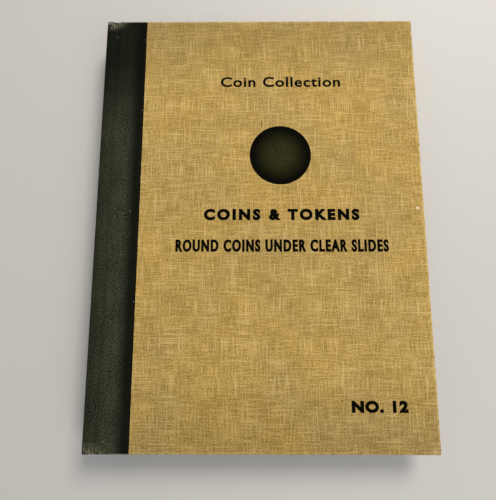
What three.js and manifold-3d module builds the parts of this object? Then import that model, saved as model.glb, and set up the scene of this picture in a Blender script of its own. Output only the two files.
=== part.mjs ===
// Coin album: a cloth-covered case with three coin leaves and clear pull-out slides.
// Millimetres, +Z up. The album lies closed on its back cover: X runs from the spine to
// the fore edge, Y from the tail to the head, and the origin is under the middle.
import * as THREE from 'three';
import { mergeVertices } from 'three/addons/utils/BufferGeometryUtils.js';
import Module from 'manifold-3d';

const wasm = await Module();
wasm.setup();

// Whole album
const WIDTH = 190.5;
const HEIGHT = 254;
const THICKNESS = 22;

// Case: boards wrapped in cloth, with glue lines between the layers
const CLOTH = 0.4;
const GLUE = 0.05;
const BOARD = 2.0;
const ENDPAPER = 0.25;
const TURN_IN = 15;
const STRIP_WIDTH = 26;
const JOINT_START = 3.4;
const BOARD_START = 9.5;
const ENDPAPER_START = 12;
const ENDPAPER_MARGIN = 4;

// Spine
const SPINE_DEPTH = 2.6;
const SPINE_RADIUS = 1.3;
const SPINE_BOARD = 1.6;
const SPINE_LINING = 0.3;

// Leaves, counted from the front cover
const LEAVES = 3;
const LEAF_START = 12;
const LEAF_END = 186;
const LEAF_HEIGHT = 246;
const LEAF_THICKNESS = 4.8;
const LEAF_GAP = 0.3;
const FACE_BOARD = 0.85;
const HINGE_CLOTH_START = 4.3;
const HINGE_CLOTH_DEPTH = 8;

// Coin holes and the channels that the slides run in
const COLUMNS = 4;
const ROWS = 5;
const COLUMN_PITCH = 40;
const ROW_PITCH = 47;
const COIN_HOLE = 29.2;
const WINDOW = 28;
const HOLE_SIDES = 12;
const CHANNEL_DEPTH = 0.55;
const CHANNEL_WIDTH = 38;
const CHANNEL_START = 16;

// Clear slides
const SLIDE = 0.35;
const SLIDE_WIDTH = 37;
const SLIDE_START = 17;
const SLIDE_END = 188;
const SLIDE_CORNER = 3;

// How tools run past a face, how near points are welded, and how round the spine edges are
const OVERCUT = 1;
const WELD = 1e-4;
const EDGE_SEGMENTS = 6;

const COVER_THICKNESS = CLOTH + GLUE + BOARD + GLUE + CLOTH + GLUE + ENDPAPER;
const CORE = LEAF_THICKNESS - 2 * (FACE_BOARD + GLUE);
const LEAF_MIDDLE = (LEAF_START + LEAF_END) / 2;

function material(colour, roughness, opacity = 1) {
  return new THREE.MeshStandardMaterial({
    color: colour,
    roughness,
    metalness: 0,
    transparent: opacity < 1,
    opacity,
  });
}

const tanCloth = () => material(0xc49c58, 0.9);
const blackCloth = () => material(0x2b2c24, 0.9);
const greyBoard = () => material(0x8f8878, 0.95);
const creamPaper = () => material(0xe4d9bd, 0.9);
const leafBoard = () => material(0xd5c499, 0.9);
const clearSheet = () => material(0xf2f4f2, 0.1, 0.3);

// A box between two corners; s is the distance from the outer face of the spine.
function slab(s0, s1, y0, y1, z0, z1) {
  const geometry = new THREE.BoxGeometry(s1 - s0, y1 - y0, Math.abs(z1 - z0));
  return geometry.translate((s0 + s1) / 2 - WIDTH / 2, (y0 + y1) / 2, (z0 + z1) / 2);
}

function toManifold(geometry) {
  geometry.deleteAttribute('normal');
  geometry.deleteAttribute('uv');
  const merged = mergeVertices(geometry, WELD);
  return new wasm.Manifold(new wasm.Mesh({
    numProp: 3,
    vertProperties: new Float32Array(merged.attributes.position.array),
    triVerts: new Uint32Array(merged.index.array),
  }));
}

function toGeometry(solid) {
  const result = solid.getMesh();
  const geometry = new THREE.BufferGeometry();
  geometry.setAttribute('position', new THREE.BufferAttribute(result.vertProperties, 3));
  geometry.setIndex(new THREE.BufferAttribute(result.triVerts, 1));
  geometry.computeVertexNormals();
  return geometry;
}

function cut(geometry, tools) {
  let solid = toManifold(geometry);
  for (const tool of tools) {
    solid = solid.subtract(toManifold(tool));
  }
  return toGeometry(solid);
}

function named(name, geometry, finish) {
  const mesh = new THREE.Mesh(geometry, finish);
  mesh.name = name;
  return mesh;
}

// One cover, built up from its outer face; height() turns it over for the front cover.
function cover(side, height) {
  const edge = HEIGHT / 2;
  const boardBottom = CLOTH + GLUE;
  const cavityTop = CLOTH + GLUE + BOARD + GLUE;
  const turnInTop = cavityTop + CLOTH;
  const across = (s0, s1, y, z0, z1) => slab(s0, s1, -y, y, height(z0), height(z1));

  const board = across(
    BOARD_START, WIDTH - CLOTH - GLUE, edge - CLOTH - GLUE, boardBottom, boardBottom + BOARD);
  const boardSpace = across(
    JOINT_START - OVERCUT, WIDTH - CLOTH, edge - CLOTH, CLOTH, cavityTop);
  const liningSpace = across(
    JOINT_START - OVERCUT, WIDTH - TURN_IN, edge - TURN_IN, CLOTH, turnInTop + OVERCUT);
  const jointSpace = across(
    JOINT_START - OVERCUT, BOARD_START - GLUE, edge + OVERCUT, CLOTH, turnInTop + OVERCUT);

  const coverCloth = cut(across(STRIP_WIDTH, WIDTH, edge, 0, turnInTop),
    [boardSpace, liningSpace]);
  const hingeCloth = cut(across(JOINT_START, STRIP_WIDTH - GLUE, edge, 0, turnInTop),
    [boardSpace, liningSpace, jointSpace]);
  const endpaper = across(
    ENDPAPER_START, WIDTH - ENDPAPER_MARGIN, edge - ENDPAPER_MARGIN,
    turnInTop + GLUE, COVER_THICKNESS);

  const group = new THREE.Group();
  group.add(named(`${side}_board`, board, greyBoard()));
  group.add(named(`${side}_cover_cloth`, coverCloth, tanCloth()));
  group.add(named(`${side}_hinge_cloth`, hingeCloth, blackCloth()));
  group.add(named(`${side}_endpaper`, endpaper, creamPaper()));
  return group;
}

// The section of the spine cloth, rounded on the two outer edges.
function spineSection() {
  const shape = new THREE.Shape();
  const left = -WIDTH / 2;
  shape.moveTo(left + SPINE_DEPTH, 0);
  shape.lineTo(left + SPINE_DEPTH, THICKNESS);
  shape.lineTo(left + SPINE_RADIUS, THICKNESS);
  shape.absarc(left + SPINE_RADIUS, THICKNESS - SPINE_RADIUS, SPINE_RADIUS,
    Math.PI / 2, Math.PI, false);
  shape.lineTo(left, SPINE_RADIUS);
  shape.absarc(left + SPINE_RADIUS, SPINE_RADIUS, SPINE_RADIUS,
    Math.PI, 3 * Math.PI / 2, false);
  return shape;
}

function spine() {
  const edge = HEIGHT / 2;
  const wrap = new THREE.ExtrudeGeometry(spineSection(), {
    depth: HEIGHT, steps: 1, curveSegments: EDGE_SEGMENTS, bevelEnabled: false,
  });
  wrap.rotateX(Math.PI / 2);
  wrap.translate(0, edge, 0);
  const inside = SPINE_DEPTH + OVERCUT;
  const space = edge - CLOTH;
  const cloth = cut(wrap, [
    slab(CLOTH, inside, -space, space, SPINE_RADIUS, THICKNESS - SPINE_RADIUS),
    slab(SPINE_RADIUS, inside, -space, space, CLOTH, THICKNESS - CLOTH),
  ]);
  const boardEnd = edge - CLOTH - GLUE;
  const liningStart = CLOTH + GLUE + SPINE_BOARD + GLUE;
  const clear = SPINE_RADIUS + GLUE;
  const board = slab(CLOTH + GLUE, liningStart - GLUE, -boardEnd, boardEnd,
    clear, THICKNESS - clear);
  const lining = slab(liningStart, liningStart + SPINE_LINING, -boardEnd, boardEnd,
    clear, THICKNESS - clear);

  const group = new THREE.Group();
  group.add(named('spine_cloth', cloth, blackCloth()));
  group.add(named('spine_board', board, greyBoard()));
  group.add(named('spine_lining', lining, creamPaper()));
  return group;
}

// One round hole through a leaf for each coin.
function holes(diameter) {
  const tools = [];
  for (let row = 0; row < ROWS; row += 1) {
    for (let column = 0; column < COLUMNS; column += 1) {
      const tool = new THREE.CylinderGeometry(
        diameter / 2, diameter / 2, LEAF_THICKNESS + 2 * OVERCUT, HOLE_SIDES);
      tool.rotateX(Math.PI / 2);
      tool.rotateZ(Math.PI / HOLE_SIDES);
      const s = LEAF_MIDDLE + (column - (COLUMNS - 1) / 2) * COLUMN_PITCH;
      tool.translate(s - WIDTH / 2, rowMiddle(row), 0);
      tools.push(tool);
    }
  }
  return tools;
}

// Rows are counted from the head down.
function rowMiddle(row) {
  return ((ROWS - 1) / 2 - row) * ROW_PITCH;
}

// One leaf about its own middle height: core, two face boards, hinge cloth and slides.
function leaf(number) {
  const name = `leaf_${number}`;
  const edge = LEAF_HEIGHT / 2;
  const slitHalf = CLOTH / 2 + GLUE;
  const coreFace = CORE / 2;
  const channels = [];
  for (let row = 0; row < ROWS; row += 1) {
    for (const face of [-1, 1]) {
      const middle = rowMiddle(row);
      channels.push(slab(
        CHANNEL_START, LEAF_END + OVERCUT,
        middle - CHANNEL_WIDTH / 2, middle + CHANNEL_WIDTH / 2,
        face * (coreFace - CHANNEL_DEPTH), face * (coreFace + OVERCUT)));
    }
  }
  const slit = slab(LEAF_START - OVERCUT, LEAF_START + HINGE_CLOTH_DEPTH + GLUE,
    -edge - OVERCUT, edge + OVERCUT, -slitHalf, slitHalf);
  const coreBlank = slab(LEAF_START, LEAF_END, -edge, edge, -coreFace, coreFace);
  const core = cut(coreBlank, [slit, ...channels, ...holes(COIN_HOLE)]);
  const hingeCloth = slab(HINGE_CLOTH_START, LEAF_START + HINGE_CLOTH_DEPTH,
    -edge, edge, -CLOTH / 2, CLOTH / 2);

  const group = new THREE.Group();
  group.add(named(`${name}_core_board`, core, leafBoard()));
  group.add(named(`${name}_hinge_cloth`, hingeCloth, blackCloth()));
  for (const [label, face] of [['front', 1], ['back', -1]]) {
    const inner = coreFace + GLUE;
    const blank = slab(LEAF_START, LEAF_END, -edge, edge,
      face * inner, face * (inner + FACE_BOARD));
    group.add(named(`${name}_${label}_board`, cut(blank, holes(WINDOW)), leafBoard()));
    for (let row = 0; row < ROWS; row += 1) {
      group.add(slide(`${name}_${label}_slide_${row + 1}`, face, row));
    }
  }
  return group;
}

// A clear strip in the middle of its channel, with its two outer corners clipped.
function slide(name, face, row) {
  const shape = new THREE.Shape();
  const half = SLIDE_WIDTH / 2;
  const start = SLIDE_START - WIDTH / 2;
  const end = SLIDE_END - WIDTH / 2;
  shape.moveTo(start, -half);
  shape.lineTo(end - SLIDE_CORNER, -half);
  shape.lineTo(end, -half + SLIDE_CORNER);
  shape.lineTo(end, half - SLIDE_CORNER);
  shape.lineTo(end - SLIDE_CORNER, half);
  shape.lineTo(start, half);
  const strip = new THREE.ExtrudeGeometry(shape, { depth: SLIDE, bevelEnabled: false });
  const channelMiddle = CORE / 2 - CHANNEL_DEPTH + (CHANNEL_DEPTH + GLUE) / 2;
  strip.translate(0, rowMiddle(row), face * channelMiddle - SLIDE / 2);
  return named(name, strip, clearSheet());
}

const album = new THREE.Group();
album.add(cover('back', (z) => z));
album.add(spine());
for (let number = 1; number <= LEAVES; number += 1) {
  const block = leaf(number);
  const fromMiddle = (LEAVES + 1) / 2 - number;
  block.position.z = THICKNESS / 2 + fromMiddle * (LEAF_THICKNESS + LEAF_GAP);
  album.add(block);
}
album.add(cover('front', (z) => THICKNESS - z));

export default album;
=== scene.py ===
import math

import bmesh
import bpy
from mathutils import Matrix, Vector, noise


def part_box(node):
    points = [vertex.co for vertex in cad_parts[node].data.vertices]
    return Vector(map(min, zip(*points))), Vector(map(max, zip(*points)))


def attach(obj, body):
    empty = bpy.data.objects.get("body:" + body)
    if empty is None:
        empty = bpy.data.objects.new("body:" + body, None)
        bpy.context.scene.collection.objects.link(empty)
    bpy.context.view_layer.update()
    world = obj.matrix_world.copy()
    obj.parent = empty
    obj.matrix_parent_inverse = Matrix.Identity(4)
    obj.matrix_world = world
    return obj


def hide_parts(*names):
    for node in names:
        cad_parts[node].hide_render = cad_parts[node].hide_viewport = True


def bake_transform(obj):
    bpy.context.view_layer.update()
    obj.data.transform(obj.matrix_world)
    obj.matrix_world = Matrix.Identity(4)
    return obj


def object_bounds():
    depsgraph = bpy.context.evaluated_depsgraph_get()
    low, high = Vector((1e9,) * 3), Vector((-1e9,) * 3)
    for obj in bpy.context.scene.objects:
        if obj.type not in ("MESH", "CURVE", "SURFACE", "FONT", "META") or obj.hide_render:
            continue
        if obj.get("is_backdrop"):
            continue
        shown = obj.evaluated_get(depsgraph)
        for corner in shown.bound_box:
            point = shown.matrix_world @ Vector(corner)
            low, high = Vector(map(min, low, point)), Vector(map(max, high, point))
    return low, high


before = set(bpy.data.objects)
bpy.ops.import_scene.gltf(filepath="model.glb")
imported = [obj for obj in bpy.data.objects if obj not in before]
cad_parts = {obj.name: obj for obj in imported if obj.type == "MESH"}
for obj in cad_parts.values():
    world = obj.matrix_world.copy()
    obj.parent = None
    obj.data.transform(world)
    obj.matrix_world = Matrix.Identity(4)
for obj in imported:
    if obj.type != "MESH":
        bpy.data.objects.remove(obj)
cad_low, cad_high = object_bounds()

# ---- Floor, light and camera ----
# A plain pale table top under soft studio light. The camera looks down on the closed album
# from a little towards its tail, close enough that the far edge draws in.
MM = 0.001
scene = bpy.context.scene
scene.view_settings.view_transform = "Standard"


def link_object(name, data):
    piece = bpy.data.objects.new(name, data)
    scene.collection.objects.link(piece)
    return piece


def mesh_object(name, points, faces):
    mesh = bpy.data.meshes.new(name)
    mesh.from_pydata(points, [], faces)
    return link_object(name, mesh)


def new_material(name):
    material = bpy.data.materials.new(name)
    material.use_nodes = True
    return material, material.node_tree, material.node_tree.nodes["Principled BSDF"]


FLOOR_HALF = 3.0
floor = mesh_object(
    "floor",
    [(-FLOOR_HALF, -FLOOR_HALF, 0), (FLOOR_HALF, -FLOOR_HALF, 0),
     (FLOOR_HALF, FLOOR_HALF, 0), (-FLOOR_HALF, FLOOR_HALF, 0)],
    [(0, 1, 2, 3)],
)
pale_table, _, floor_shader = new_material("pale table")
floor_shader.inputs["Base Color"].default_value = (0.62, 0.60, 0.57, 1)
floor_shader.inputs["Roughness"].default_value = 0.6
floor.data.materials.append(pale_table)
floor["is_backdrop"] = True

world = bpy.data.worlds.new("studio")
world.use_nodes = True
world.node_tree.nodes["Background"].inputs["Color"].default_value = (0.95, 0.97, 1.0, 1)
world.node_tree.nodes["Background"].inputs["Strength"].default_value = 0.35
scene.world = world


def area_light(name, place, target, size, power, colour):
    light = bpy.data.lights.new(name, "AREA")
    light.shape = "DISK"
    light.size = size
    light.energy = power
    light.color = colour
    lamp = link_object(name, light)
    lamp.location = place
    lamp.rotation_euler = (Vector(target) - Vector(place)).to_track_quat("-Z", "Y").to_euler()


area_light("key light", place=(0.4, 0.7, 0.9), target=(0, 0, 0), size=0.5, power=10.0,
           colour=(1.0, 0.95, 0.86))
area_light("fill light", place=(0.6, -0.5, 0.9), target=(0, 0, 0), size=0.9, power=3.5,
           colour=(0.95, 0.97, 1.0))

camera_data = bpy.data.cameras.new("camera")
camera_data.sensor_width = 36
camera_data.lens = 25.83
camera_data.clip_start = 0.01
camera = link_object("camera", camera_data)
camera.location = (-0.0057, -0.0469, 0.2238)
camera.rotation_euler = (math.radians(8.17), math.radians(0.28), 0)
scene.camera = camera

# ---- Tan cover cloth ----
# Linen-weave book cloth, glued over each cover board and turned in on three sides. Its fourth
# edge is cut and laps 3 mm over the black strip, so a low ridge shows there.
SPINE_X = cad_low.x
FORE_X = cad_high.x
HALF_HEIGHT = cad_high.y
ALBUM_TOP = cad_high.z
CLOTH_THICKNESS = 0.22 * MM
WRAP_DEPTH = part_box("back_cover_cloth")[1].z
WRAP_RADIUS = 1.0 * MM
TURN_IN = 15 * MM
TAN_EDGE_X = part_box("back_cover_cloth")[0].x - 0.3 * MM
LAP_WIDTH = 3.0 * MM
CLOTH_DEPTH = 0.22 * MM
FOLD_DEPTH = WRAP_DEPTH - CLOTH_DEPTH
LAP_RISE = 0.19 * MM
LAP_SLOPE = (-0.4 * MM, 0.5 * MM)
SWELL_HEIGHT = 0.02 * MM
SWELLS_ACROSS, SWELLS_UP = 22, 17
CUT_RAGGED = 0.16 * MM
CUT_WAVES = 260
SWELL_SEED, CUT_SEED = 0.3, 0.7
ACROSS_STEPS = 66
UP_STEPS = 100
CORNER_STEPS = 6
FOLD_STEPS = 5
WELD_DISTANCE = 1e-7
CREASE_ANGLE = math.radians(50)


def ease(value, low, high):
    """0 below low, 1 above high, smooth between."""
    share = min(max((value - low) / (high - low), 0.0), 1.0)
    return share * share * (3 - 2 * share)


def cover_swell(x, y):
    """How far the glued cloth stands above its mean plane: slow waves and the lapped edge."""
    wave = SWELL_HEIGHT * noise.noise(Vector((x * SWELLS_ACROSS, y * SWELLS_UP, SWELL_SEED)))
    lap_end = TAN_EDGE_X + LAP_WIDTH
    lap = LAP_RISE * (1 - ease(x, lap_end + LAP_SLOPE[0], lap_end + LAP_SLOPE[1]))
    return wave + lap


def turned_outline(inset):
    """The outline of the cloth at one inset from the cover's edge: (x, y, out x, out y)."""
    centre = max(inset, WRAP_RADIUS)
    reach = centre - inset
    corner_x, corner_y = FORE_X - centre, HALF_HEIGHT - centre
    outline = []
    for step in range(ACROSS_STEPS):
        x = TAN_EDGE_X + (corner_x - TAN_EDGE_X) * step / ACROSS_STEPS
        outline.append((x, -corner_y - reach, 0, -1))
    for step in range(CORNER_STEPS):
        angle = -math.pi / 2 * (1 - step / CORNER_STEPS)
        out = math.cos(angle), math.sin(angle)
        outline.append((corner_x + reach * out[0], -corner_y + reach * out[1], *out))
    for step in range(UP_STEPS):
        outline.append((corner_x + reach, corner_y * (2 * step / UP_STEPS - 1), 1, 0))
    for step in range(CORNER_STEPS):
        angle = math.pi / 2 * step / CORNER_STEPS
        out = math.cos(angle), math.sin(angle)
        outline.append((corner_x + reach * out[0], corner_y + reach * out[1], *out))
    for step in range(ACROSS_STEPS + 1):
        x = corner_x + (TAN_EDGE_X - corner_x) * step / ACROSS_STEPS
        outline.append((x, corner_y + reach, 0, 1))
    return outline


def fold_section():
    """The section of the fold at the cover's edge: (inset, depth, cloth run from the face)."""
    quarter = math.pi / 2
    section = [(WRAP_RADIUS, 0.0, 0.0)]
    for step in range(1, FOLD_STEPS + 1):
        turn = quarter * step / FOLD_STEPS
        section.append((WRAP_RADIUS * (1 - math.sin(turn)), WRAP_RADIUS * (1 - math.cos(turn)),
                        WRAP_RADIUS * turn))
    run = WRAP_RADIUS * quarter + FOLD_DEPTH - 2 * WRAP_RADIUS
    for step in range(FOLD_STEPS + 1):
        turn = quarter * step / FOLD_STEPS
        section.append((WRAP_RADIUS * (1 - math.cos(turn)),
                        FOLD_DEPTH - WRAP_RADIUS * (1 - math.sin(turn)), run + WRAP_RADIUS * turn))
    run += WRAP_RADIUS * quarter
    for step in range(1, FOLD_STEPS + 1):
        inset = WRAP_RADIUS + (TURN_IN - WRAP_RADIUS) * step / FOLD_STEPS
        section.append((inset, FOLD_DEPTH, run + inset - WRAP_RADIUS))
    return section


def set_uv(mesh, uv_of_vertex):
    layer = mesh.uv_layers.new(name="cloth")
    for loop in mesh.loops:
        layer.data[loop.index].uv = uv_of_vertex[loop.vertex_index]


def clean_shell(piece):
    """Merges doubled points and shades the surface smooth up to its sharp edges."""
    work = bmesh.new()
    work.from_mesh(piece.data)
    bmesh.ops.remove_doubles(work, verts=work.verts, dist=WELD_DISTANCE)
    work.to_mesh(piece.data)
    work.free()
    for polygon in piece.data.polygons:
        polygon.use_smooth = True
    piece.data.set_sharp_from_angle(angle=CREASE_ANGLE)


def bake_modifiers(piece):
    """Turns the piece and its modifiers into one plain mesh."""
    shown = piece.evaluated_get(bpy.context.evaluated_depsgraph_get())
    piece.data = bpy.data.meshes.new_from_object(shown)
    piece.modifiers.clear()


def thicken(piece, thickness):
    solidify = piece.modifiers.new("thickness", "SOLIDIFY")
    solidify.thickness = thickness
    solidify.offset = -1
    solidify.use_even_offset = True
    bake_modifiers(piece)


def cover_cloth(side):
    """The tan cloth of one cover, from its outer face round the three edges to the turn-ins."""
    front = side == "front"
    points, uvs, faces = [], [], []

    def add(x, y, depth, uv):
        lift = cover_swell(x, y) * max(0.0, 1 - depth / WRAP_RADIUS)
        z = CLOTH_DEPTH + depth - lift
        points.append((x, y, ALBUM_TOP - z if front else z))
        uvs.append(uv)
        return len(points) - 1

    def quad(a, b, c, d):
        faces.append((a, b, c, d) if front else (d, c, b, a))

    right, top = FORE_X - WRAP_RADIUS, HALF_HEIGHT - WRAP_RADIUS
    rows = []
    for up in range(UP_STEPS + 1):
        y = top * (2 * up / UP_STEPS - 1)
        ragged = CUT_RAGGED * noise.noise(Vector((CUT_SEED, y * CUT_WAVES, 0)))
        row = []
        for across in range(ACROSS_STEPS + 1):
            x = TAN_EDGE_X + (right - TAN_EDGE_X) * across / ACROSS_STEPS
            row.append(add(x + (ragged if across == 0 else 0), y, 0, (x, y)))
        rows.append(row)
    for lower, upper in zip(rows, rows[1:]):
        for across in range(ACROSS_STEPS):
            quad(lower[across], lower[across + 1], upper[across + 1], upper[across])

    loops = []
    face_edge = turned_outline(WRAP_RADIUS)
    for inset, depth, run in fold_section():
        loop = []
        for (x, y, out_x, out_y), (face_x, face_y, _, _) in zip(turned_outline(inset), face_edge):
            uv = (face_x + out_x * run, face_y + out_y * run)
            loop.append(add(x, y, depth, uv))
        loops.append(loop)
    for inner, outer in zip(loops, loops[1:]):
        for step in range(len(inner) - 1):
            quad(inner[step], outer[step], outer[step + 1], inner[step + 1])

    piece = mesh_object(f"{side}_tan_cloth", points, faces)
    set_uv(piece.data, uvs)
    clean_shell(piece)
    thicken(piece, CLOTH_THICKNESS)
    clean_shell(piece)
    return piece


def add_node(tree, kind, **values):
    """Adds a node to a tree. Each value goes to the setting or input of its name, or to input
    number N for a name of iN, and a socket is linked."""
    made = tree.nodes.new(kind)
    for name, value in values.items():
        if hasattr(made, name):
            setattr(made, name, value)
            continue
        socket = made.inputs[int(name[1:]) if name[1:].isdigit() else name.replace("_", " ")]
        if isinstance(value, bpy.types.NodeSocket):
            tree.links.new(value, socket)
        else:
            socket.default_value = value
    return made


def maths(tree, operation, first, second=0.0, third=0.0):
    made = add_node(tree, "ShaderNodeMath", operation=operation, i0=first, i1=second, i2=third)
    return made.outputs[0]


def limits(tree, value, low, high, to_low=0.0, to_high=1.0):
    made = add_node(tree, "ShaderNodeMapRange", interpolation_type="SMOOTHSTEP", Value=value,
                    From_Min=low, From_Max=high, To_Min=to_low, To_Max=to_high)
    return made.outputs["Result"]


def mix_colour(tree, share, first, second, blend="MIX"):
    made = add_node(tree, "ShaderNodeMix", data_type="RGBA", blend_type=blend)
    for index, value in ((0, share), (6, first), (7, second)):
        if isinstance(value, bpy.types.NodeSocket):
            tree.links.new(value, made.inputs[index])
        else:
            made.inputs[index].default_value = value
    return made.outputs[2]


def noise_at(tree, place, scale, detail=3.0, stretch=(1, 1, 1)):
    """A noise value, so many waves to the metre; stretch lengthens it along an axis."""
    moved = add_node(tree, "ShaderNodeMapping", Vector=place,
                     Scale=[scale / along for along in stretch])
    made = add_node(tree, "ShaderNodeTexNoise", Vector=moved.outputs[0], Scale=1.0,
                    Detail=detail, Roughness=0.55)
    return made.outputs["Fac"]


def weave(tree, place, pitch):
    """The height of whichever thread is on top in a plain weave, which drifts a little."""
    reach, rounding = 1.1 * MM, 0.4
    drift = add_node(tree, "ShaderNodeTexNoise", Vector=place, Scale=90.0, Detail=2.0)
    offset = add_node(tree, "ShaderNodeVectorMath", operation="MULTIPLY_ADD",
                      i0=drift.outputs["Color"], i1=(reach, reach, 0), i2=place)
    split = add_node(tree, "ShaderNodeSeparateXYZ", Vector=offset.outputs[0])
    waves = []
    for axis in ("X", "Y"):
        phase = maths(tree, "MULTIPLY", split.outputs[axis], math.pi / pitch)
        waves.append(maths(tree, "SINE", phase))
    warp, weft = (maths(tree, "ABSOLUTE", wave) for wave in waves)
    warp_on_top = maths(tree, "GREATER_THAN", maths(tree, "MULTIPLY", *waves), 0.0)
    over = maths(tree, "MULTIPLY", warp,
                 maths(tree, "MULTIPLY_ADD", weft, rounding, 1 - rounding))
    under = maths(tree, "MULTIPLY", weft,
                  maths(tree, "MULTIPLY_ADD", warp, rounding, 1 - rounding))
    height = add_node(tree, "ShaderNodeMix", data_type="FLOAT")
    tree.links.new(warp_on_top, height.inputs[0])
    tree.links.new(under, height.inputs[2])
    tree.links.new(over, height.inputs[3])
    return height.outputs[0]


def from_oval(tree, place, centre, half_sizes):
    """How far a place is from the centre of an oval: 1 on its edge."""
    apart = add_node(tree, "ShaderNodeVectorMath", operation="SUBTRACT", i0=place, i1=centre)
    apart = add_node(tree, "ShaderNodeVectorMath", operation="DIVIDE", i0=apart.outputs[0],
                     i1=half_sizes)
    return add_node(tree, "ShaderNodeVectorMath", operation="LENGTH",
                    i0=apart.outputs[0]).outputs["Value"]


def layer_on(tree, tone, *layers):
    """Adds patterns to a tone. Each is given with its strength and how far it is shifted."""
    for pattern, strength, shift in layers:
        tone = maths(tree, "ADD", tone, maths(tree, "MULTIPLY_ADD", pattern, strength, shift))
    return tone


def finish_surface(tree, shader, colour, height, strength, depth, roughness, gloss):
    """Gives a shader its colour, its bump of so much depth, its roughness and its gloss."""
    tree.links.new(colour, shader.inputs["Base Color"])
    bump = add_node(tree, "ShaderNodeBump", Strength=strength, Distance=depth, Height=height)
    tree.links.new(bump.outputs[0], shader.inputs["Normal"])
    shader.inputs["Roughness"].default_value = roughness
    shader.inputs["Specular IOR Level"].default_value = gloss


LINEN_PITCH = 0.72 * MM
THREADS_PER_METRE, THREAD_RUN = 2000, 22
SLUBS_PER_METRE, SLUB_RUN = 1500, 30
GOLD_THREAD = (0.29, 0.172, 0.029, 1), (0.74, 0.498, 0.143, 1)
DULL_THREAD = (0.265, 0.163, 0.033, 1), (0.68, 0.468, 0.162, 1)
PALE_SLUB = (0.82, 0.6, 0.26, 1)
RUBBED_AND_HIGHLIT_LINEN = (0.8, 0.6, 0.26, 1)
EDGE_RUB = 2.0 * MM
CORNER_RUB_AND_HIGHLIGHT = 7 * MM
# Painted shade: the span over which the cloth darkens towards head and tail.
PAINTED_SHADE_AT_ENDS = (2 * MM, 50 * MM)
# Two small marks on the front cover, in millimetres from the middle of the album: x, y, half
# width and half length.
LINEN_MARKS = (
    ((91.3, 6.6, 1.1, 0.9), (0.85, 0.78, 0.6, 1)),
    ((1.5, 58.6, 0.5, 3.0), (0.12, 0.08, 0.03, 1)),
)


def tan_linen():
    """Golden-buff linen: uneven threads both ways, pale slubs, browner patches, rubbed edges with
    a painted highlight on the corners, and painted shade towards head and tail.
    """
    material, tree, shader = new_material("tan linen")
    place = add_node(tree, "ShaderNodeUVMap", uv_map="cloth").outputs[0]
    thread = weave(tree, place, LINEN_PITCH)
    threads, slubs = [], []
    for along in ((1, THREAD_RUN, 1), (THREAD_RUN, 1, 1)):
        uneven = noise_at(tree, place, THREADS_PER_METRE, 1.0, along)
        threads.append(limits(tree, uneven, 0.42, 0.68))
    for along in ((1, SLUB_RUN, 1), (SLUB_RUN, 1, 1)):
        thick = noise_at(tree, place, SLUBS_PER_METRE, 0.0, along)
        slubs.append(limits(tree, thick, 0.65, 0.75))
    warp, weft = threads
    grain = noise_at(tree, place, 1250, 2.0)
    patches = noise_at(tree, place, 75, 4.0)
    brown = noise_at(tree, place, 22, 3.0)

    tone = maths(tree, "MULTIPLY_ADD", warp, 0.36, maths(tree, "MULTIPLY", weft, 0.36))
    tone = layer_on(tree, tone, (grain, 2.0, -1.0), (patches, 0.6, -0.3), (thread, 0.8, -0.26))
    gold = mix_colour(tree, tone, *GOLD_THREAD)
    dull = mix_colour(tree, tone, *DULL_THREAD)
    cloth = mix_colour(tree, limits(tree, brown, 0.35, 0.65), gold, dull)
    slub = maths(tree, "MAXIMUM", *slubs)
    cloth = mix_colour(tree, maths(tree, "MULTIPLY", slub, 0.42), cloth, PALE_SLUB)

    seat = add_node(tree, "ShaderNodeTexCoord").outputs["Object"]
    split = add_node(tree, "ShaderNodeSeparateXYZ", Vector=seat)
    from_end = maths(tree, "SUBTRACT", HALF_HEIGHT, maths(tree, "ABSOLUTE", split.outputs["Y"]))
    from_fore_edge = maths(tree, "SUBTRACT", FORE_X, split.outputs["X"])
    from_edge = maths(tree, "MINIMUM", from_end, from_fore_edge)
    corner_place = add_node(tree, "ShaderNodeCombineXYZ", X=split.outputs["X"], Y=from_end)
    corner = from_oval(tree, corner_place.outputs[0], (FORE_X, 0, 0),
                       (CORNER_RUB_AND_HIGHLIGHT, CORNER_RUB_AND_HIGHLIGHT, MM))
    # Pale at the edges and fore-edge corners from wear; on the corners the paleness is partly a
    # painted highlight on their rounding.
    rubbed = maths(tree, "MAXIMUM", limits(tree, from_edge, 0.0, EDGE_RUB, 1.0, 0.0),
                   limits(tree, corner, 0.4, 1.0, 0.8, 0.0))
    patchy = limits(tree, noise_at(tree, place, 260, 4.0), 0.34, 0.6)
    scuff = maths(tree, "MULTIPLY", rubbed, patchy)
    cloth = mix_colour(tree, maths(tree, "MULTIPLY", scuff, 0.75), cloth, RUBBED_AND_HIGHLIT_LINEN)
    # Painted shade: the cloth is darkened towards head and tail, standing in for the light falling
    # off there.
    painted_end_shade = limits(tree, from_end, *PAINTED_SHADE_AT_ENDS, 0.8, 1.0)
    cloth = mix_colour(tree, 1.0, cloth, painted_end_shade, "MULTIPLY")
    for (x, y, half_width, half_length), colour in LINEN_MARKS:
        mark = from_oval(tree, seat, (x * MM, y * MM, ALBUM_TOP),
                         (half_width * MM, half_length * MM, 2 * MM))
        cloth = mix_colour(tree, limits(tree, mark, 0.5, 1.1, 0.85, 0.0), cloth, colour)

    fibres = maths(tree, "MULTIPLY_ADD", grain, 0.5, maths(tree, "MULTIPLY", thread, 0.8))
    fibres = maths(tree, "ADD", fibres, maths(tree, "MULTIPLY", slub, 0.5))
    finish_surface(tree, shader, cloth, fibres, strength=0.55, depth=0.12 * MM, roughness=0.86,
                   gloss=0.25)
    shader.inputs["Sheen Weight"].default_value = 0.08
    shader.inputs["Sheen Roughness"].default_value = 0.5
    return material


linen = tan_linen()
for side in ("back", "front"):
    tan_cloth = cover_cloth(side)
    tan_cloth.data.materials.append(linen)
    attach(tan_cloth, f"{side}_cover")
    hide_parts(f"{side}_cover_cloth")
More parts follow.
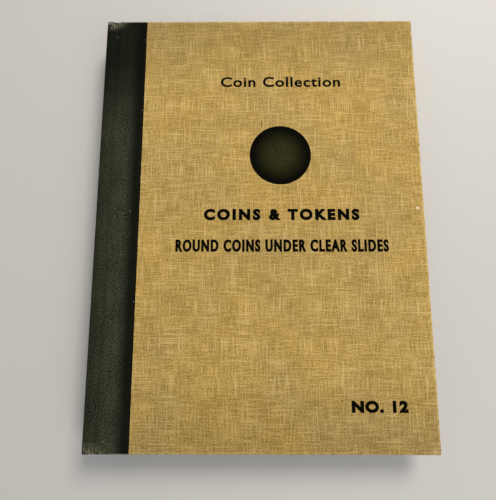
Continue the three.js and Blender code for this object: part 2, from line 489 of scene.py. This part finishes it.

# ---- Black strip ----
# One strip of black book cloth round the spine joins the two covers. It is pressed into a
# shallow groove beside each board and turned in at head and tail. Its two halves meet down
# the middle of the spine.
STRIP_DEPTH = 0.24 * MM
STRIP_THICKNESS = 0.2 * MM
STRIP_EDGE_X = TAN_EDGE_X + LAP_WIDTH
GROOVE_START_X = SPINE_X + 3.0 * MM
GROOVE_END_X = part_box("back_board")[0].x + 0.5 * MM
GROOVE_DEPTH = 0.8 * MM
SPINE_CORNER = 1.5 * MM
SPINE_WRAP = 2.72 * MM
GROOVE_WRAP = 0.85 * MM
BOARD_EASE = 1.5 * MM
SPINE_EASE = 2 * MM
FOLD_RUN = HALF_HEIGHT - 0.2 * MM
FACE_STEPS, ROUND_STEPS, SPINE_STEPS = 64, 8, 14
END_TURN_STEPS, TURN_IN_STEPS = 4, 3
STRIP_UP_STEPS = 90


def strip_path():
    """The strip's outer face, from its hidden edge on the cover to mid-spine: (x, z, wrap)."""
    path = []
    corner_x = SPINE_X + STRIP_DEPTH + SPINE_CORNER
    for step in range(FACE_STEPS):
        x = STRIP_EDGE_X + (corner_x - STRIP_EDGE_X) * step / FACE_STEPS
        share = min(max((x - GROOVE_START_X) / (GROOVE_END_X - GROOVE_START_X), 0.0), 1.0)
        dip = GROOVE_DEPTH * math.sin(math.pi * share) ** 2
        wrap = GROOVE_WRAP + (WRAP_DEPTH - STRIP_DEPTH - GROOVE_WRAP) * ease(
            x, GROOVE_END_X - BOARD_EASE, GROOVE_END_X)
        path.append((x, STRIP_DEPTH + dip, wrap))
    for step in range(ROUND_STEPS):
        turn = math.pi / 2 * step / ROUND_STEPS
        path.append((corner_x - SPINE_CORNER * math.sin(turn),
                     STRIP_DEPTH + SPINE_CORNER * (1 - math.cos(turn)), GROOVE_WRAP))
    corner_z = STRIP_DEPTH + SPINE_CORNER
    for step in range(SPINE_STEPS + 1):
        z = corner_z + (ALBUM_TOP / 2 - corner_z) * step / SPINE_STEPS
        wrap = GROOVE_WRAP + (SPINE_WRAP - STRIP_DEPTH - GROOVE_WRAP) * ease(
            z, corner_z, corner_z + SPINE_EASE)
        path.append((SPINE_X + STRIP_DEPTH, z, wrap))
    return path


def end_section(wrap):
    """The turn-in at head or tail for one wrap depth: (distance from the end, depth)."""
    radius = min(WRAP_RADIUS, wrap / 2)
    turns = [math.pi / 2 * step / END_TURN_STEPS for step in range(END_TURN_STEPS + 1)]
    section = [(radius * (1 - math.sin(turn)), radius * (1 - math.cos(turn))) for turn in turns]
    for turn in turns:
        section.append((radius * (1 - math.cos(turn)), wrap - radius * (1 - math.sin(turn))))
    for step in range(1, TURN_IN_STEPS + 1):
        section.append((radius + (TURN_IN - radius) * step / TURN_IN_STEPS, wrap))
    return section


def strip_half(side):
    """The back or front half of the strip, with its flat width and height."""
    front = side == "front"
    path = strip_path()
    points, uvs, rows = [], [], []
    run = 0.0
    for index, (x, z, wrap) in enumerate(path):
        before, after = path[max(index - 1, 0)], path[min(index + 1, len(path) - 1)]
        way = Vector((after[0] - before[0], after[1] - before[1])).normalized()
        inward = Vector((-way.y, way.x)) * -1
        if index:
            run += math.dist((x, z), path[index - 1][:2])
        section = end_section(wrap)
        stations = [(-(HALF_HEIGHT - inset), depth) for inset, depth in reversed(section)]
        flat = HALF_HEIGHT - section[0][0]
        stations += [(flat * (2 * step / STRIP_UP_STEPS - 1), 0.0)
                     for step in range(1, STRIP_UP_STEPS)]
        stations += [(HALF_HEIGHT - inset, depth) for inset, depth in section]
        row, length, last = [], 0.0, stations[0]
        for y, depth in stations:
            length += math.dist((y, depth), last)
            last = (y, depth)
            height = z + inward.y * depth
            row.append(len(points))
            points.append((x + inward.x * depth, y, ALBUM_TOP - height if front else height))
            uvs.append([run, length])
        middle = length / 2
        for index_in_row in row:
            uvs[index_in_row][1] -= middle
        rows.append(row)
    faces = []
    for first, second in zip(rows, rows[1:]):
        for step in range(len(first) - 1):
            face = (first[step], first[step + 1], second[step + 1], second[step])
            faces.append(face if front else face[::-1])
    piece = mesh_object(f"{side}_black_strip", points, faces)
    set_uv(piece.data, uvs)
    clean_shell(piece)
    thicken(piece, STRIP_THICKNESS)
    clean_shell(piece)
    return piece, run, max(uv[1] for uv in uvs) * 2


BLACK_CLOTH_PITCH = 0.5 * MM
BLACK_THREAD = (0.002, 0.0024, 0.001, 1), (0.056, 0.06, 0.034, 1)
SCUFFED_BLACK = (0.36, 0.34, 0.22, 1)
PALE_DUST = (0.42, 0.42, 0.36, 1)
# Across the strip from its hidden edge: painted shade beside the tan cloth, darker towards the
# spine, and the spine.
SHADE_BESIDE_TAN = (6.0 * MM, 13.0 * MM)
SPINE_SIDE_DARKENING = (17.0 * MM, 27.0 * MM)
SPINE_TURN = 27.5 * MM
SPINE_FADE = (27 * MM, 30 * MM)
HEAD_SHADE_SPAN = (0.05, 0.1)
FOLD_RUB = (0.1 * MM, 0.9 * MM)
CORNER_SCUFF = (15 * MM, 7 * MM, MM)


def black_book_cloth():
    """Near-black cloth with an olive cast, greyer across the middle of its face, specked and
    scuffed, with painted shade along the tan cloth's edge and towards the head.
    """
    material, tree, shader = new_material("black book cloth")
    place = add_node(tree, "ShaderNodeUVMap", uv_map="cloth").outputs[0]
    split = add_node(tree, "ShaderNodeSeparateXYZ", Vector=place)
    across, up = split.outputs["X"], split.outputs["Y"]
    thread = weave(tree, place, BLACK_CLOTH_PITCH)
    grain = noise_at(tree, place, 1000, 3.0)
    streak = noise_at(tree, place, 420, 3.0, (1, 7, 1))
    cloud = noise_at(tree, place, 60, 4.0)

    tone = maths(tree, "MULTIPLY_ADD", grain, 2.6, -1.3)
    tone = layer_on(tree, tone, (streak, 0.5, -0.25), (cloud, 0.7, -0.35), (thread, 0.3, 0.5))
    # Painted shade: the strip is darkened next to the tan cloth's edge.
    painted_shade_beside_tan = limits(tree, across, *SHADE_BESIDE_TAN, 0.12, 1.0)
    # The strip is darker towards the spine.
    darker_towards_spine = limits(tree, across, *SPINE_SIDE_DARKENING, 1.0, 0.6)
    # Painted shade: the cloth is darkened towards the head.
    painted_head_shade = limits(tree, up, *HEAD_SHADE_SPAN, 1.0, 0.2)
    for fade in (painted_shade_beside_tan, darker_towards_spine, painted_head_shade):
        tone = maths(tree, "MULTIPLY", tone, fade)
    cloth = mix_colour(tree, tone, *BLACK_THREAD)

    from_middle = maths(tree, "ABSOLUTE", up)
    from_fold = maths(tree, "ABSOLUTE", maths(tree, "SUBTRACT", from_middle, FOLD_RUN))
    rubbed = limits(tree, from_fold, *FOLD_RUB, 0.75, 0.0)
    end = add_node(tree, "ShaderNodeCombineXYZ", X=across, Y=from_middle)
    corner = from_oval(tree, end.outputs[0], (SPINE_TURN, FOLD_RUN, 0), CORNER_SCUFF)
    corner = limits(tree, corner, 0.3, 1.0, 1.0, 0.0)
    less_at_tail = limits(tree, up, -0.1, 0.1, 0.55, 1.0)
    less_on_spine = limits(tree, across, *SPINE_FADE, 1.0, 0.25)
    less_inside = limits(tree, from_middle, FOLD_RUN, FOLD_RUN + MM, 1.0, 0.2)
    for fade in (less_at_tail, less_on_spine, less_inside):
        corner = maths(tree, "MULTIPLY", corner, fade)
    patchy = limits(tree, noise_at(tree, place, 800, 4.0, (1, 2.5, 1)), 0.36, 0.62)
    scuff = maths(tree, "MULTIPLY", maths(tree, "MAXIMUM", rubbed, corner), patchy)
    cloth = mix_colour(tree, maths(tree, "MULTIPLY", scuff, 0.6), cloth, SCUFFED_BLACK)

    speck = add_node(tree, "ShaderNodeTexVoronoi", Vector=place, Scale=230.0)
    chosen = add_node(tree, "ShaderNodeSeparateColor", Color=speck.outputs["Color"])
    dust = maths(tree, "MULTIPLY", maths(tree, "LESS_THAN", speck.outputs["Distance"], 0.07),
                 maths(tree, "GREATER_THAN", chosen.outputs[0], 0.8))
    cloth = mix_colour(tree, maths(tree, "MULTIPLY", dust, 0.5), cloth, PALE_DUST)

    fibres = maths(tree, "MULTIPLY_ADD", grain, 0.6, maths(tree, "MULTIPLY", thread, 0.7))
    finish_surface(tree, shader, cloth, fibres, strength=0.5, depth=0.09 * MM, roughness=0.9,
                   gloss=0.08)
    return material


strip_finish = black_book_cloth()
for side in ("back", "front"):
    strip, strip_width, strip_height = strip_half(side)
    strip.data.materials.append(strip_finish)
    if side == "front":
        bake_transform(strip)
        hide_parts("front_hinge_cloth", "spine_cloth")
    else:
        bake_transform(strip)
        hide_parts("back_hinge_cloth")

# ---- Printing on the front cover ----
# Black ink stamped into the cloth: a plain round disc and four lines of plain lettering.
# The film is thin, so the weave shows through it, and the disc is painted greyer in its middle and
# blacker at its rim, as shading.
INK_FILM = 0.05 * MM
INK_LIFT = 0.015 * MM
COVER_WIDTH = FORE_X - SPINE_X
COVER_HEIGHT = 2 * HALF_HEIGHT
DISC_RADIUS = 0.0949 * COVER_WIDTH
DISC_X = SPINE_X + 0.565 * COVER_WIDTH
DISC_Y = HALF_HEIGHT - 0.347 * COVER_HEIGHT
DISC_RINGS, DISC_SIDES = 10, 96
BLACK_INK = (0.0008, 0.0008, 0.0005, 1), (0.006, 0.006, 0.004, 1)
PAINTED_LIGHT_INK = (0.012, 0.012, 0.003, 1), (0.08, 0.079, 0.027, 1)


def cover_face(x, y):
    """The height of the front cover's cloth at a place on it."""
    return ALBUM_TOP - CLOTH_DEPTH + cover_swell(x, y)


def lay_on_cover(film):
    """Drops a flat film of ink, made at the height of zero, on the front cover's cloth."""
    for vertex in film.data.vertices:
        vertex.co.z += cover_face(vertex.co.x, vertex.co.y) + INK_LIFT


def ink(name, painted_shading):
    """Matt black ink that lets the weave through. The disc's is painted greyer in its middle and
    blacker at its rim, as shading.
    """
    material, tree, shader = new_material(name)
    seat = add_node(tree, "ShaderNodeTexCoord").outputs["Object"]
    flat = add_node(tree, "ShaderNodeVectorMath", operation="MULTIPLY", i0=seat, i1=(1, 1, 0))
    thread = weave(tree, flat.outputs[0], LINEN_PITCH)
    grain = noise_at(tree, flat.outputs[0], 1400, 3.0)
    tone = maths(tree, "MULTIPLY_ADD", grain, 2.2, -0.9)
    tone = layer_on(tree, tone, (thread, 0.3, -0.1))
    black = mix_colour(tree, tone, *BLACK_INK)
    if painted_shading:
        # Painted shading: the disc's ink is greyer in its middle and blacker towards its rim.
        apart = from_oval(tree, flat.outputs[0], (DISC_X, DISC_Y, 0),
                          (DISC_RADIUS, DISC_RADIUS, MM))
        disc_shading = limits(tree, apart, 0.2, 0.98, 1.0, 0.0)
        cloud = noise_at(tree, flat.outputs[0], 170, 3.0)
        disc_shading = maths(tree, "MULTIPLY", disc_shading, maths(tree, "MULTIPLY_ADD", cloud, 0.7, 0.6))
        black = mix_colour(tree, disc_shading, black, mix_colour(tree, tone, *PAINTED_LIGHT_INK))
    fibres = maths(tree, "MULTIPLY_ADD", grain, 0.5, maths(tree, "MULTIPLY", thread, 0.8))
    finish_surface(tree, shader, black, fibres, strength=0.4, depth=0.1 * MM, roughness=0.75,
                   gloss=0.02)
    return material


def printed_disc(name):
    """The round disc: rings of faces round its middle, so that it can follow the cloth."""
    points = [(DISC_X, DISC_Y, INK_FILM)]
    for ring in range(1, DISC_RINGS + 1):
        radius = DISC_RADIUS * ring / DISC_RINGS
        for step in range(DISC_SIDES):
            turn = 2 * math.pi * step / DISC_SIDES
            x, y = DISC_X + radius * math.cos(turn), DISC_Y + radius * math.sin(turn)
            points.append((x, y, INK_FILM))
    faces = [(0, 1 + step, 1 + (step + 1) % DISC_SIDES) for step in range(DISC_SIDES)]
    for ring in range(DISC_RINGS - 1):
        inner, outer = 1 + ring * DISC_SIDES, 1 + (ring + 1) * DISC_SIDES
        for step in range(DISC_SIDES):
            after = (step + 1) % DISC_SIDES
            faces.append((inner + step, outer + step, outer + after, inner + after))
    film = mesh_object(name, points, faces)
    thicken(film, INK_FILM)
    return film


def printed_words(name, words, weight, spacing, box):
    """Bold letters that fill a box on the cover. The weight is how far the ink has spread
    round the thin outline of each letter."""
    left, right, top, bottom = box
    text = bpy.data.curves.new(name, "FONT")
    text.body = words
    text.space_character = spacing
    text.resolution_u = 4
    holder = link_object(name, text)
    outline = holder.to_curve(bpy.context.evaluated_depsgraph_get()).copy()
    bpy.data.objects.remove(holder)
    places = [point.co for spline in outline.splines for point in spline.bezier_points]
    low_x, high_x = min(place.x for place in places), max(place.x for place in places)
    low_y, high_y = min(place.y for place in places), max(place.y for place in places)
    width = ((right - left) * COVER_WIDTH - 2 * weight) / (high_x - low_x)
    height = ((bottom - top) * COVER_HEIGHT - 2 * weight) / (high_y - low_y)
    corner = Vector((SPINE_X + left * COVER_WIDTH + weight,
                     HALF_HEIGHT - bottom * COVER_HEIGHT + weight, 0))
    outline.transform(Matrix.Translation(corner) @ Matrix.Diagonal((width, height, 1, 1))
                      @ Matrix.Translation((-low_x, -low_y, 0)))
    outline.fill_mode = "BOTH"
    outline.bevel_depth = weight
    outline.bevel_resolution = 0
    film = link_object(name, outline)
    shown = film.evaluated_get(bpy.context.evaluated_depsgraph_get())
    letters = bpy.data.meshes.new_from_object(shown)
    bpy.data.objects.remove(film)
    film = link_object(name, letters)
    for vertex in letters.vertices:
        vertex.co.z = INK_FILM / 2 * (1 + vertex.co.z / weight)
    clean_shell(film)
    return film


# Each line's ink spread and letter spacing, then its left, right, top and bottom as shares of
# the cover's width and height.
LINES = (
    ("printed_heading", "Coin Collection", 0.42 * MM, 1.1, (0.377, 0.760, 0.149, 0.177)),
    ("printed_title", "COINS & TOKENS", 0.95 * MM, 1.35, (0.329, 0.804, 0.474, 0.504)),
    ("printed_subtitle", "ROUND COINS UNDER CLEAR SLIDES", 0.7 * MM, 1.25,
     (0.246, 0.887, 0.545, 0.576)),
    ("printed_number", "NO. 12", 0.95 * MM, 1.15, (0.754, 0.917, 0.890, 0.918)),
)
letter_ink = ink("letter ink", painted_shading=False)
disc_ink = ink("disc ink", painted_shading=True)
prints = [(printed_disc("printed_disc"), disc_ink)]
prints += [(printed_words(*line), letter_ink) for line in LINES]
for film, finish in prints:
    lay_on_cover(film)
    film.data.materials.clear()
    film.data.materials.append(finish)
    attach(film, "front_cover")

# ---- Boards and papers of the case ----
# Grey binder's board stiffens both covers, and a thinner strip of it the spine. A sheet of
# cream paper lines each cover over the turn-ins, and a paper strip lines the spine.


def give_finish(node, material):
    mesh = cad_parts[node].data
    mesh.materials.clear()
    mesh.materials.append(material)


def flecked_stock(name, dark, light, fleck, roughness, bump_height):
    """Paper or board: a mottled base with short fibres and small flecks."""
    material, tree, shader = new_material(name)
    seat = add_node(tree, "ShaderNodeTexCoord").outputs["Object"]
    cloud = noise_at(tree, seat, 45, 5.0)
    fibre = noise_at(tree, seat, 900, 4.0, (3, 1, 1))
    fine = noise_at(tree, seat, 3200, 2.0)
    tone = maths(tree, "MULTIPLY_ADD", fibre, 0.5, maths(tree, "MULTIPLY", cloud, 0.6))
    base = mix_colour(tree, maths(tree, "ADD", tone, -0.05), dark, light)
    dots = add_node(tree, "ShaderNodeTexVoronoi", Vector=seat, Scale=420.0)
    spots = limits(tree, dots.outputs["Distance"], 0.05, 0.16, 1.0, 0.0)
    colour = mix_colour(tree, maths(tree, "MULTIPLY", spots, 0.5), base, fleck)
    height = maths(tree, "MULTIPLY_ADD", fine, 0.5, fibre)
    finish_surface(tree, shader, colour, height, strength=0.35, depth=bump_height,
                   roughness=roughness, gloss=0.25)
    return material


grey_board = flecked_stock("grey binder's board", (0.19, 0.17, 0.13, 1), (0.34, 0.31, 0.25, 1),
                           (0.1, 0.09, 0.07, 1), 0.95, 0.12 * MM)
cream_paper = flecked_stock("cream lining paper", (0.62, 0.54, 0.38, 1), (0.83, 0.77, 0.61, 1),
                            (0.55, 0.44, 0.28, 1), 0.85, 0.03 * MM)
for node in ("back_board", "front_board", "spine_board"):
    give_finish(node, grey_board)
for node in ("back_endpaper", "front_endpaper", "spine_lining"):
    give_finish(node, cream_paper)

# ---- Leaves ----
# Each leaf is three boards glued together: a core with a well for each coin and strips that
# space the slides, and a face board with windows on either side. The boards are faced with
# buff paper, and their die-cut walls show the raw stock.
COIN_COLUMNS = 4
COIN_ROWS = 5
COLUMN_PITCH = 40 * MM
ROW_PITCH = 47 * MM
WELL_DIAMETER = 29.2 * MM
WINDOW_DIAMETER = 28 * MM
SPACER_WIDTH = 9 * MM
STOP_WIDTH = 4 * MM
WEB_THICKNESS = 1.9 * MM
PUNCH_SIDES = 56
PUNCH_ROUNDING = 0.12 * MM
WALL_ANGLE = math.radians(60)
FLAT_FROM = 0.8
RING_DIAMETER = 31 * MM
LINE_WIDTH = 0.3 * MM
PAGE_INK_FILM = 0.04 * MM
RULE_WIDTH = 22 * MM
RULE_DROP = 20 * MM


def geometry_tree(name, numbers, counts=()):
    """A Geometry Nodes tree with named inputs; it returns the tree and its input sockets."""
    tree = bpy.data.node_groups.new(name, "GeometryNodeTree")
    tree.interface.new_socket(name="Geometry", in_out="OUTPUT", socket_type="NodeSocketGeometry")
    for label in numbers:
        tree.interface.new_socket(name=label, in_out="INPUT", socket_type="NodeSocketFloat")
    for label in counts:
        tree.interface.new_socket(name=label, in_out="INPUT", socket_type="NodeSocketInt")
    tree.interface.new_socket(name="Material", in_out="INPUT", socket_type="NodeSocketMaterial")
    given = tree.nodes.new("NodeGroupInput")
    return tree, given.outputs


def end_tree(tree, geometry, material):
    """Every tree ends by making its instances real and giving them their material."""
    real = add_node(tree, "GeometryNodeRealizeInstances", Geometry=geometry)
    done = add_node(tree, "GeometryNodeSetMaterial", Geometry=real.outputs[0], Material=material)
    result = tree.nodes.new("NodeGroupOutput")
    tree.links.new(done.outputs[0], result.inputs[0])


def grow(name, tree, **values):
    """Runs a tree and returns its result as a plain mesh object."""
    holder = link_object(name, bpy.data.meshes.new(name))
    modifier = holder.modifiers.new("grow", "NODES")
    modifier.node_group = tree
    for item in tree.interface.items_tree:
        if item.in_out == "INPUT":
            modifier[item.identifier] = values[item.name.replace(" ", "_").lower()]
    bake_modifiers(holder)
    holder.data.materials.pop(index=0)  # the empty slot of the mesh that it grew from
    return holder


def coin_grid(tree, given):
    """A grid of points, one for each coin."""
    gaps_across = maths(tree, "SUBTRACT", given["Columns"], 1.0)
    wide = maths(tree, "MULTIPLY", gaps_across, given["Column Pitch"])
    gaps_up = maths(tree, "SUBTRACT", given["Rows"], 1.0)
    high = maths(tree, "MULTIPLY", gaps_up, given["Row Pitch"])
    return add_node(tree, "GeometryNodeMeshGrid", Size_X=wide, Size_Y=high,
                    Vertices_X=given["Columns"], Vertices_Y=given["Rows"]).outputs[0]


def punched_board_tree():
    """A flat board with a grid of round holes punched through it."""
    tree, given = geometry_tree(
        "punched board",
        ("Width", "Height", "Thickness", "Hole Diameter", "Column Pitch", "Row Pitch"),
        ("Columns", "Rows", "Sides"))
    blank = add_node(tree, "GeometryNodeCurvePrimitiveQuadrilateral", Width=given["Width"],
                     Height=given["Height"])
    radius = maths(tree, "MULTIPLY", given["Hole Diameter"], 0.5)
    punch = add_node(tree, "GeometryNodeCurvePrimitiveCircle", Resolution=given["Sides"],
                     Radius=radius)
    punches = add_node(tree, "GeometryNodeInstanceOnPoints", Points=coin_grid(tree, given),
                       Instance=punch.outputs[0])
    real = add_node(tree, "GeometryNodeRealizeInstances", Geometry=punches.outputs[0])
    outline = tree.nodes.new("GeometryNodeJoinGeometry")
    tree.links.new(real.outputs[0], outline.inputs[0])
    tree.links.new(blank.outputs[0], outline.inputs[0])
    face = add_node(tree, "GeometryNodeFillCurve", Curve=outline.outputs[0])
    raised = add_node(tree, "GeometryNodeExtrudeMesh", Mesh=face.outputs[0],
                      Offset_Scale=given["Thickness"], Individual=False)
    under = add_node(tree, "GeometryNodeFlipFaces", Mesh=face.outputs[0])
    both = tree.nodes.new("GeometryNodeJoinGeometry")
    tree.links.new(raised.outputs[0], both.inputs[0])
    tree.links.new(under.outputs[0], both.inputs[0])
    welded = add_node(tree, "GeometryNodeMergeByDistance", Geometry=both.outputs[0], Distance=1e-6)
    end_tree(tree, welded.outputs[0], given["Material"])
    return tree


def printed_grid_tree():
    """A thin printed ring round each window and a blank rule for its label below."""
    tree, given = geometry_tree(
        "printed rings", ("Ring Diameter", "Line Width", "Film", "Rule Width", "Rule Drop",
                          "Column Pitch", "Row Pitch"), ("Columns", "Rows", "Sides"))
    radius = maths(tree, "MULTIPLY", given["Ring Diameter"], 0.5)
    path = add_node(tree, "GeometryNodeCurvePrimitiveCircle", Resolution=given["Sides"],
                    Radius=radius)
    section = add_node(tree, "GeometryNodeCurvePrimitiveQuadrilateral", Width=given["Film"],
                       Height=given["Line Width"])
    ring = add_node(tree, "GeometryNodeCurveToMesh", Curve=path.outputs[0],
                    Profile_Curve=section.outputs[0])
    size = add_node(tree, "ShaderNodeCombineXYZ", X=given["Rule Width"], Y=given["Line Width"],
                    Z=given["Film"])
    rule = add_node(tree, "GeometryNodeMeshCube", Size=size.outputs[0])
    below = maths(tree, "MULTIPLY", given["Rule Drop"], -1.0)
    drop = add_node(tree, "ShaderNodeCombineXYZ", Y=below)
    placed = add_node(tree, "GeometryNodeTransform", Geometry=rule.outputs[0],
                      Translation=drop.outputs[0])
    mark = tree.nodes.new("GeometryNodeJoinGeometry")
    tree.links.new(ring.outputs[0], mark.inputs[0])
    tree.links.new(placed.outputs[0], mark.inputs[0])
    marks = add_node(tree, "GeometryNodeInstanceOnPoints", Points=coin_grid(tree, given),
                     Instance=mark.outputs[0])
    end_tree(tree, marks.outputs[0], given["Material"])
    return tree


def spacer_tree():
    """The card strips between the slide channels, the same distance apart."""
    tree, given = geometry_tree("spacer strips", ("Length", "Width", "Thickness", "Pitch"),
                                ("Strips",))
    span = maths(tree, "MULTIPLY", maths(tree, "SUBTRACT", given["Strips"], 1.0), given["Pitch"])
    half = maths(tree, "MULTIPLY", span, 0.5)
    first = add_node(tree, "ShaderNodeCombineXYZ", Y=maths(tree, "MULTIPLY", half, -1.0))
    step = add_node(tree, "ShaderNodeCombineXYZ", Y=given["Pitch"])
    line = add_node(tree, "GeometryNodeMeshLine", Count=given["Strips"],
                    Start_Location=first.outputs[0], Offset=step.outputs[0])
    size = add_node(tree, "ShaderNodeCombineXYZ", X=given["Length"], Y=given["Width"],
                    Z=given["Thickness"])
    strip = add_node(tree, "GeometryNodeMeshCube", Size=size.outputs[0])
    strips = add_node(tree, "GeometryNodeInstanceOnPoints", Points=line.outputs[0],
                      Instance=strip.outputs[0])
    end_tree(tree, strips.outputs[0], given["Material"])
    return tree


buff_paper = flecked_stock("buff page paper", (0.48, 0.4, 0.26, 1), (0.68, 0.6, 0.43, 1),
                           (0.4, 0.31, 0.18, 1), 0.8, 0.03 * MM)
raw_card = flecked_stock("raw die-cut card", (0.2, 0.15, 0.09, 1), (0.42, 0.34, 0.24, 1),
                         (0.12, 0.09, 0.05, 1), 0.95, 0.1 * MM)
page_ink = flecked_stock("brown page ink", (0.03, 0.02, 0.012, 1), (0.11, 0.08, 0.05, 1),
                         (0.2, 0.15, 0.1, 1), 0.7, 0.01 * MM)


def stock_slot(normal):
    """The paper's slot for a face that lies flat, and the raw card's slot for a wall."""
    return 0 if abs(normal.z) > FLAT_FROM else 1


def raw_walls(piece):
    """Gives the walls of a board the raw card finish and rounds its edges a little."""
    work = bmesh.new()
    work.from_mesh(piece.data)
    sharp = [edge for edge in work.edges
             if len(edge.link_faces) == 2 and edge.calc_face_angle(0) > WALL_ANGLE]
    bmesh.ops.bevel(work, geom=sharp, offset=PUNCH_ROUNDING, segments=2, affect="EDGES",
                    profile=0.5)
    for face in work.faces:
        face.material_index = stock_slot(face.normal)
    work.to_mesh(piece.data)
    work.free()
    piece.data.materials.append(raw_card)


def move_mesh(piece, x, y, z):
    for vertex in piece.data.vertices:
        vertex.co += Vector((x, y, z))


punched_board = punched_board_tree()
printed_grid = printed_grid_tree()
spacers = spacer_tree()
grid_sizes = dict(columns=COIN_COLUMNS, rows=COIN_ROWS, column_pitch=COLUMN_PITCH,
                  row_pitch=ROW_PITCH, sides=PUNCH_SIDES)


def join_into(name, parts):
    """Joins plain mesh objects that share their material slots into one piece."""
    work = bmesh.new()
    for part in parts:
        work.from_mesh(part.data)
    mesh = bpy.data.meshes.new(name)
    for material in parts[0].data.materials:
        mesh.materials.append(material)
    work.to_mesh(mesh)
    work.free()
    for part in parts:
        bpy.data.objects.remove(part)
    return link_object(name, mesh)


for number in (1, 2, 3):
    leaf = f"leaf_{number}"
    core_low, core_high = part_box(f"{leaf}_core_board")
    width, height = core_high.x - core_low.x, core_high.y - core_low.y
    centre = (core_low + core_high) / 2
    web = grow(f"{leaf}_web", punched_board, width=width, height=height, thickness=WEB_THICKNESS,
               hole_diameter=WELL_DIAMETER, material=buff_paper, **grid_sizes)
    raw_walls(web)
    move_mesh(web, centre.x, centre.y, centre.z - WEB_THICKNESS / 2)
    parts = [web]
    spacer = (core_high.z - core_low.z - WEB_THICKNESS) / 2
    for face in (-1, 1):
        z = centre.z + face * (WEB_THICKNESS + spacer) / 2
        strips = grow(f"{leaf}_spacers", spacers, length=width - STOP_WIDTH, width=SPACER_WIDTH,
                      thickness=spacer, pitch=ROW_PITCH, strips=COIN_ROWS + 1, material=buff_paper)
        move_mesh(strips, centre.x + STOP_WIDTH / 2, 0, z)
        stop = grow(f"{leaf}_stop", spacers, length=STOP_WIDTH, width=height, thickness=spacer,
                    pitch=height, strips=1, material=buff_paper)
        move_mesh(stop, core_low.x + STOP_WIDTH / 2, 0, z)
        for part in (strips, stop):
            part.data.materials.append(raw_card)
            for polygon in part.data.polygons:
                polygon.material_index = stock_slot(polygon.normal)
        parts += [strips, stop]
    core = join_into(f"{leaf}_core", parts)
    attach(core, leaf)
    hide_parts(f"{leaf}_core_board")

    for label in ("front", "back"):
        low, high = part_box(f"{leaf}_{label}_board")
        board = grow(f"{leaf}_{label}_face", punched_board, width=width, height=height,
                     thickness=high.z - low.z, hole_diameter=WINDOW_DIAMETER,
                     material=buff_paper, **grid_sizes)
        raw_walls(board)
        move_mesh(board, centre.x, centre.y, low.z)
        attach(board, leaf)
        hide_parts(f"{leaf}_{label}_board")
        marks = grow(f"{leaf}_{label}_marks", printed_grid, ring_diameter=RING_DIAMETER,
                     line_width=LINE_WIDTH, film=PAGE_INK_FILM, rule_width=RULE_WIDTH,
                     rule_drop=RULE_DROP, material=page_ink, **grid_sizes)
        move_mesh(marks, centre.x, centre.y, high.z if label == "front" else low.z)
        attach(marks, leaf)

# ---- Leaf hinges ----
# A strip of black cloth is glued into the core of each leaf and down the inside of the spine,
# and the leaf turns on the bare cloth between them.
HINGE_FOOT = 2.0 * MM
HINGE_THICKNESS = 0.35 * MM
HINGE_BEND = 0.9 * MM
HINGE_GLUE = 0.1 * MM
HINGE_BEND_STEPS, HINGE_FLAT_STEPS, HINGE_UP_STEPS = 6, 24, 60
# The cloth's pattern starts past the corner of the spine, where the strip is little scuffed.
HINGE_PATTERN_START = 30 * MM
lining_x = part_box("spine_lining")[1].x


def leaf_hinge(leaf):
    """The hinge cloth of one leaf, with its flat width and height."""
    low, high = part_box(f"{leaf}_hinge_cloth")
    middle = (low.z + high.z) / 2
    foot_x = lining_x + HINGE_THICKNESS + HINGE_GLUE
    path = [(foot_x, middle - HINGE_FOOT - HINGE_BEND), (foot_x, middle - HINGE_BEND)]
    for step in range(1, HINGE_BEND_STEPS + 1):
        turn = math.pi / 2 * step / HINGE_BEND_STEPS
        path.append((foot_x + HINGE_BEND * (1 - math.cos(turn)),
                     middle - HINGE_BEND + HINGE_BEND * math.sin(turn)))
    start = path[-1][0]
    for step in range(1, HINGE_FLAT_STEPS + 1):
        path.append((start + (high.x - start) * step / HINGE_FLAT_STEPS, middle))
    points, uvs, rows, run = [], [], [], 0.0
    for index, (x, z) in enumerate(path):
        if index:
            run += math.dist((x, z), path[index - 1])
        row = []
        for step in range(HINGE_UP_STEPS + 1):
            y = low.y + (high.y - low.y) * step / HINGE_UP_STEPS
            row.append(len(points))
            points.append((x, y, z))
            uvs.append((run + HINGE_PATTERN_START, y))
        rows.append(row)
    faces = []
    for first, second in zip(rows, rows[1:]):
        for step in range(HINGE_UP_STEPS):
            faces.append((first[step], second[step], second[step + 1], first[step + 1]))
    piece = mesh_object(f"{leaf}_cloth_hinge", points, faces)
    set_uv(piece.data, uvs)
    thicken(piece, HINGE_THICKNESS)
    clean_shell(piece)
    return piece, run, high.y - low.y


for number in (1, 2, 3):
    leaf = f"leaf_{number}"
    hinge, hinge_width, hinge_height = leaf_hinge(leaf)
    hinge.data.materials.append(strip_finish)
    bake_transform(hinge)
    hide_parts(f"{leaf}_hinge_cloth")

# ---- Slides ----
# Strips of clear acetate, one behind each row of windows. They run in the channels of the
# leaf and are pulled out by the end that stands past its fore edge.
acetate, acetate_tree, acetate_shader = new_material("clear acetate")
seat = add_node(acetate_tree, "ShaderNodeTexCoord").outputs["Object"]
wear = noise_at(acetate_tree, seat, 70, 5.0, (6, 1, 1))
rub = limits(acetate_tree, wear, 0.4, 0.75, 0.04, 0.22)
acetate_tree.links.new(rub, acetate_shader.inputs["Roughness"])
tint = mix_colour(acetate_tree, wear, (0.93, 0.93, 0.86, 1), (0.99, 0.99, 0.97, 1))
acetate_tree.links.new(tint, acetate_shader.inputs["Base Color"])
acetate_shader.inputs["IOR"].default_value = 1.49
acetate_shader.inputs["Transmission Weight"].default_value = 1.0
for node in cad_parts:
    if "_slide_" in node:
        give_finish(node, acetate)

low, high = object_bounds()
